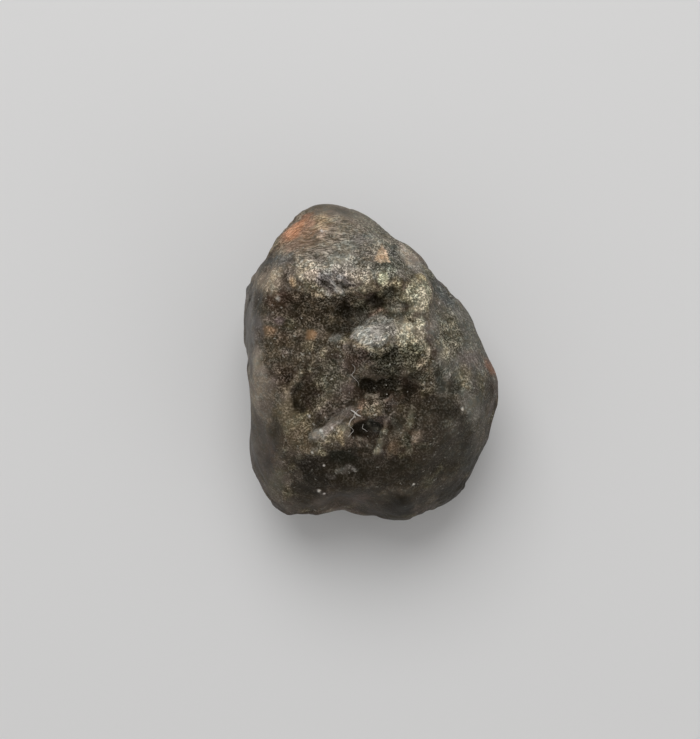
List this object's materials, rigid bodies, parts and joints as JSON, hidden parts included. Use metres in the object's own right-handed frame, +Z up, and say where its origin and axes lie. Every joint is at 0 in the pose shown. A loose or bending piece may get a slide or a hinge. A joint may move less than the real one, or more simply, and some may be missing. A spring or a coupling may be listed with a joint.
{
  "type": "chondrite meteorite",
  "caption": "Small weathered stony meteorite with a dark crust, dusty lumps and hollows and rusty stains, resting on a small flat spot on its underside.",
  "frame": {"origin": "on the resting surface, under the middle of the stone's bounding box", "axes": "+Z up from the resting flat, +Y along the length towards the narrow nose, +X to the right when the nose points away"},
  "size_m": [0.006, 0.0074, 0.0048],
  "materials": {
    "weathered_crust": "dark brown-black weathered stone crust, satin in places, with khaki dust and rusty stains"
  },
  "bodies": {
    "root": {"stone": "weathered_crust"}
  },
  "joints": []
}
